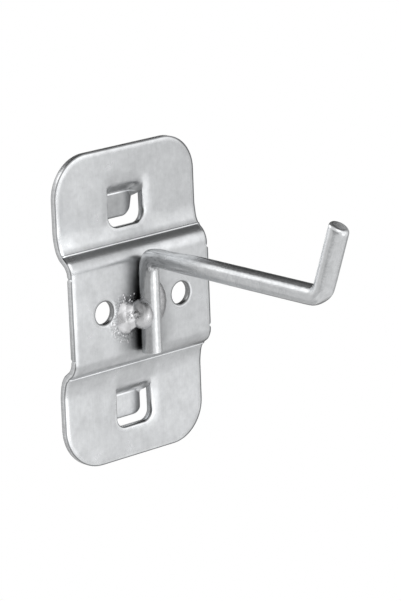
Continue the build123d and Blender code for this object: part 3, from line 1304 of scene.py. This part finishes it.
# Tip: the direction to the painted highlight on its left edge, and the direction and place of its sheared
# end, which has painted shade
TIP_FROM = (60, 62)
TIP_LEFT = (-0.754, 0.657, 0)
TIP_EDGE = (1.4, 1.7)
TIP_HIGHLIGHT_TONES = (0, 0.45)
TIP_CUT = (0.15, -0.131, 1.0)
TIP_CUT_AT = (75.33, 75.41)
TIP_END_SHADE_TONES = (1, 0.72)


def bend_scars(tree, place, outward, along):
    """Dark marks of the bending tool along the inside of the first bend."""
    near_bend = within(tree, along, SCARRED_FROM, SCARRED_TO, True)
    inside = ramp(tree, outward, SCARRED_OUT, SCARRED_OUT_SHARES)
    scars = clouds(tree, stretched(tree, place, WIRE_SCARRED), *WIRE_SCARS)
    return product(tree, near_bend, inside, spread(tree, scars, SCAR_RANGE, SCAR_DEPTH))


def run_highlights(tree, place, outward, along):
    """Painted highlights in patches on top of the run, where the bending tool held it, and a painted glint on
    the bend.
    """
    held = within(tree, along, HELD_FROM, HELD_TO, True)
    on_top = ramp(tree, outward, HELD_OUT, RISING, True)
    highlight_patches = clouds(tree, stretched(tree, place, WIRE_HIGHLIGHT_STRETCH), *WIRE_HIGHLIGHT_PATCHES)
    highlit = product(tree, held, on_top, spread(tree, highlight_patches, WIRE_HIGHLIGHT_RANGE, WIRE_HIGHLIGHT_SHARES))
    glint = spot(tree, place, BEND_GLINT, BEND_GLINT_REACH, BEND_GLINT_TONES)
    return product(tree, spread(tree, highlit, RISING, HELD_HIGHLIGHT_TONES), glint)


def tip_light_and_shade(tree, place, along):
    """Painted highlight on the left edge and painted shade on the sheared end of the upturned tip."""
    on_tip = ramp(tree, along, TIP_FROM, RISING, True)
    edge = ramp(tree, distance_along(tree, place, TIP_LEFT), TIP_EDGE, TIP_HIGHLIGHT_TONES)
    end = ramp(tree, distance_along(tree, place, TIP_CUT), TIP_CUT_AT, TIP_END_SHADE_TONES)
    return product(tree, total_of(tree, 1, product(tree, on_tip, edge)), end)


def zinc_wire():
    """Satin zinc on drawn wire: fine lines along it, soft clouds, marks of the tool at the first bend,
    painted shade next to the plate, and painted highlights and shade on the bend and tip.
    """
    material, tree, shader = metal("zinc_wire", WIRE_COLOUR)
    place = attribute(tree, STRAIGHT)["Vector"]
    _, outward, along = axes(tree, place)
    patches = clouds(tree, place, *WIRE_PATCHES)
    blotches = clouds(tree, place, *WIRE_BLOTCHES)
    lines = clouds(tree, stretched(tree, place, WIRE_LINED), *WIRE_LINES)
    grain = clouds(tree, place, *WIRE_GRAIN)
    dents = clouds(tree, place, *WIRE_DENTS)
    scarred = bend_scars(tree, place, outward, along)
    # Painted shade on the leg's side next to the plate
    next_to_plate = ramp(tree, outward, AT_PLATE_OUT, PLATE_SHADE_DEPTH, True)
    plate_shade = product(tree, ramp(tree, along, AT_PLATE_TO, FALLING), next_to_plate)
    shade = product(
        tree,
        toned(tree, patches, WIRE_PATCH_TONES),
        toned(tree, blotches, WIRE_BLOTCH_TONES),
        toned(tree, lines, WIRE_LINE_TONES),
        toned(tree, grain, WIRE_GRAIN_TONES),
        inverse(tree, total_of(tree, scarred, plate_shade)),
        run_highlights(tree, place, outward, along),
        tip_light_and_shade(tree, place, along),
    )
    shaded(tree, shader, WIRE_COLOUR, shade)
    tree.links.new(toned(tree, patches, WIRE_ROUGHNESS), shader.inputs["Roughness"])
    raised = total_of(
        tree,
        product(tree, lines, LINE_RELIEF),
        product(tree, grain, GRAIN_RELIEF),
        product(tree, dents, DENT_RELIEF),
    )
    bumped(tree, shader, combined(tree, "SUBTRACT", raised, product(tree, scarred, SCAR_RELIEF)), WIRE_RELIEF)
    return material


# Weld metal: the pip is crusted, pale where it is bare and dark where it is pitted
WELD_COLOUR = (0.6, 0.6, 0.61)
WELD_PATCHES = (1.5, 3)
WELD_PATCH_TONES = (0.86, 1.12)
WELD_ROUGHNESS = (0.34, 0.24)
WELD_CRUST = (0.35, 4)
PIP_CRUST = (0.4, PIP_REACH)
PIP_CRUST_RELIEF = (0.15, 1)
PIT_SPOT = (-4.5, -7.5, -0.7)
PIT_REACH = (0.7, 1.4)
PIT_RANGE = (0.5, 0.55)
PIT_TONES = (1.5, 0.3)
BARE_SPOT = (-5.0, -6.8, -1.05)
BARE_REACH = (0.9, 1.6)
BARE_TONES = (1.05, 1 / PIT_TONES[0])
OXIDE_SPOT = (-2.8, -8.1, 0.75)
OXIDE_REACH = (0.3, 2.4)
OXIDE_TONES = (0.34, 1)
# Painted shade on the bead right of the leg, and painted light on the left flank of the nugget
BEAD_FROM = (0, 1)
BEAD_SHADE_TONES = (1, 0.62)
FLANK_TO = (-5.8, -4.8)
FLANK_LIGHT_TONES = (1.35, 1)
WELD_RELIEF = 0.09


def weld_metal():
    """Set weld metal under thin zinc: smooth lobes with blotches and a crusted pip, painted shade on the bead
    and painted light on the left flank.
    """
    material, tree, shader = metal("weld_metal", WELD_COLOUR)
    place = object_place(tree)
    x, _, _ = axes(tree, place)
    patches = clouds(tree, place, *WELD_PATCHES)
    crust = clouds(tree, place, *WELD_CRUST)
    at_pits = spot(tree, place, PIT_SPOT, PIT_REACH, FALLING)
    pits = product(tree, at_pits, spread(tree, crust, PIT_RANGE, RISING))
    shade = product(
        tree,
        toned(tree, patches, WELD_PATCH_TONES),
        spread(tree, pits, RISING, PIT_TONES),
        spot(tree, place, BARE_SPOT, BARE_REACH, BARE_TONES),
        spot(tree, place, OXIDE_SPOT, OXIDE_REACH, OXIDE_TONES),
        ramp(tree, x, BEAD_FROM, BEAD_SHADE_TONES),
        ramp(tree, x, FLANK_TO, FLANK_LIGHT_TONES, True),
    )
    shaded(tree, shader, WELD_COLOUR, shade)
    tree.links.new(toned(tree, patches, WELD_ROUGHNESS), shader.inputs["Roughness"])
    near_pip = spot(tree, place, PIP, PIP_CRUST, FALLING)
    relief = product(tree, crust, spread(tree, near_pip, RISING, PIP_CRUST_RELIEF))
    bumped(tree, shader, relief, WELD_RELIEF)
    return material


# Studio, in metres

# Camera: lens and sensor in millimetres, then its axes and place
LENS = 191.44
SENSOR_WIDTH = 36
CLIP_START = 0.01
CAMERA_RIGHT = (0.73950, -0.67216, -0.03661)
CAMERA_UP = (0.20262, 0.17042, 0.96431)
CAMERA_BACK = (-0.64193, -0.72053, 0.26222)
CAMERA_PLACE = (-0.36525, -0.43039, 0.15248)

# Pale surroundings
WHITE = (1, 1, 1, 1)
PALE = (0.8, 0.8, 0.8, 1)
WORLD_STRENGTH = 0.6
FLOOR_ROUGHNESS = 0.9
FLOOR_HALF_WIDTH = 4
FLOOR_Z = -0.9
CARD_HALF = 0.5


def camera():
    data = bpy.data.cameras.new("camera")
    data.lens = LENS
    data.sensor_width = SENSOR_WIDTH
    data.clip_start = CLIP_START
    made = bpy.data.objects.new("camera", data)
    turn = Matrix((CAMERA_RIGHT, CAMERA_UP, CAMERA_BACK)).transposed().to_4x4()
    made.matrix_world = Matrix.Translation(CAMERA_PLACE) @ turn
    scene.collection.objects.link(made)
    scene.camera = made


def white_for_view(tree, shader_type, output_type, base):
    """Shows pure white to the camera and in reflections, and the base shader to all other light."""
    rays = node(tree, "ShaderNodeLightPath", {}).outputs
    seen = combined(tree, "MAXIMUM", rays["Is Camera Ray"], rays["Is Glossy Ray"])
    seen = combined(tree, "MAXIMUM", seen, rays["Is Transmission Ray"])
    white = node(tree, shader_type, {"Color": WHITE, "Strength": 1})
    mix = node(tree, "ShaderNodeMixShader", {"Fac": seen, 1: base.outputs[0], 2: white.outputs[0]})
    output = next(made for made in tree.nodes if made.bl_idname == output_type)
    tree.links.new(mix.outputs[0], output.inputs["Surface"])


def staged(name, bm, material):
    """The mesh as a thing of the studio, which isn't part of the hook."""
    mesh = bpy.data.meshes.new(name)
    bm.to_mesh(mesh)
    bm.free()
    mesh.materials.append(material)
    made = bpy.data.objects.new(name, mesh)
    scene.collection.objects.link(made)
    return made


def surroundings():
    world = bpy.data.worlds.new("studio")
    world.use_nodes = True
    base = world.node_tree.nodes["Background"]
    base.inputs["Color"].default_value = PALE
    base.inputs["Strength"].default_value = WORLD_STRENGTH
    white_for_view(world.node_tree, "ShaderNodeBackground", "ShaderNodeOutputWorld", base)
    scene.world = world
    material = bpy.data.materials.new("pale_floor")
    material.use_nodes = True
    shader = material.node_tree.nodes["Principled BSDF"]
    shader.inputs["Base Color"].default_value = PALE
    shader.inputs["Roughness"].default_value = FLOOR_ROUGHNESS
    white_for_view(material.node_tree, "ShaderNodeEmission", "ShaderNodeOutputMaterial", shader)
    bm = bmesh.new()
    bmesh.ops.create_grid(bm, x_segments=1, y_segments=1, size=FLOOR_HALF_WIDTH)
    bmesh.ops.translate(bm, vec=(0, 0, FLOOR_Z), verts=bm.verts)
    staged("floor", bm, material)


def towards(left, up):
    """Direction from the hook, in degrees round to the left of its front and above the level."""
    turn = math.radians(left)
    rise = math.radians(up)
    return Vector((-math.sin(turn) * math.cos(rise), -math.cos(turn) * math.cos(rise), math.sin(rise)))


def card(name, left, up, distance, width, height, level):
    """A card facing the hook, hidden from the camera: dark ones shade reflections, pale ones fill them."""
    material = bpy.data.materials.new(name)
    material.use_nodes = True
    tree = material.node_tree
    glow = node(tree, "ShaderNodeEmission", {"Color": (level, level, level, 1)})
    tree.links.new(glow.outputs[0], tree.nodes["Material Output"].inputs["Surface"])
    bm = bmesh.new()
    bmesh.ops.create_grid(bm, x_segments=1, y_segments=1, size=CARD_HALF)
    bmesh.ops.scale(bm, vec=(width, height, 1), verts=bm.verts)
    facing = towards(left, up)
    turn = (-facing).to_track_quat("Z", "Y").to_matrix().to_4x4()
    bmesh.ops.transform(bm, matrix=Matrix.Translation(facing * distance) @ turn, verts=bm.verts)
    made = staged(name, bm, material)
    made.visible_camera = False
    made.visible_shadow = False


def lamp(name, left, up, distance, width, height, power):
    data = bpy.data.lights.new(name, "AREA")
    data.shape = "RECTANGLE"
    data.size = width
    data.size_y = height
    data.energy = power
    made = bpy.data.objects.new(name, data)
    facing = towards(left, up)
    turn = facing.to_track_quat("Z", "Y").to_matrix().to_4x4()
    made.matrix_world = Matrix.Translation(facing * distance) @ turn
    scene.collection.objects.link(made)


scene.view_settings.view_transform = "Standard"
camera()
surroundings()
lamp("front_softbox", left=-18, up=-16, distance=0.7, width=0.36, height=0.5, power=0.47)
card("left_card", left=72, up=-6, distance=0.5, width=0.9, height=0.44, level=0.45)
card("right_card", left=-104, up=-5, distance=0.5, width=0.58, height=0.7, level=0.5)
card("low_front_card", left=15, up=-62, distance=0.45, width=0.9, height=0.5, level=0.9)
card("low_right_card", left=-92, up=-56, distance=0.47, width=0.6, height=0.38, level=0.84)
card("low_back_card", left=175, up=-58, distance=0.48, width=0.7, height=0.5, level=0.62)
card("top_flag", left=-122, up=66, distance=0.45, width=0.8, height=0.5, level=0.19)
card("back_right_flag", left=-146, up=33, distance=0.5, width=0.6, height=0.52, level=0.06)
card("behind_flag", left=-138, up=-14, distance=0.5, width=0.12, height=0.18, level=0.1)
card("back_left_card", left=130, up=-10, distance=0.5, width=0.5, height=0.6, level=0.78)
card("rim_card", left=144, up=33, distance=0.45, width=0.24, height=0.17, level=1.7)
card("upper_right_card", left=-31, up=12, distance=0.5, width=0.44, height=0.24, level=1.45)
card("top_front_card", left=0, up=45, distance=0.5, width=0.4, height=0.3, level=1.9)
card("web_flag", left=-128, up=-36, distance=0.46, width=0.28, height=0.25, level=0.18)

weld = weld_metal()
pressed_plate([zinc_sheet(), sheared_edge()])
bent_wire([zinc_wire()])
weld_nugget([weld])
weld_bead([weld])
weld_spatter([weld])
